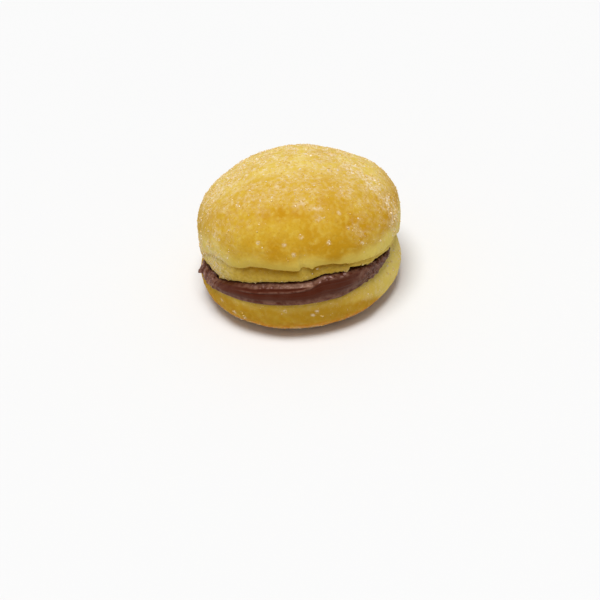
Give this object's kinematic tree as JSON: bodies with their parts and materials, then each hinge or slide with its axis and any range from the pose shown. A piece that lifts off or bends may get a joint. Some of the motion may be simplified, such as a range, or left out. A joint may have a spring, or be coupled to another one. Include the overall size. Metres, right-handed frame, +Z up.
{
  "type": "berliner doughnut",
  "caption": "Round fried doughnut, cut open at the side, with a wedge of chocolate cream showing in the cut and a sugared golden crust.",
  "frame": {"origin": "on the surface it rests on, at the middle of the flat sole", "axes": "+Z up; the cut and its filling open towards -Y"},
  "size_m": [0.0857, 0.0862, 0.0578],
  "materials": {
    "dough": "golden fried dough with a paler waist, soft and matte, with sugar grains on it",
    "chocolate": "dark chocolate cream with a soft gloss"
  },
  "bodies": {
    "root": {"dough": "dough", "chocolate_filling": "chocolate"}
  },
  "joints": []
}
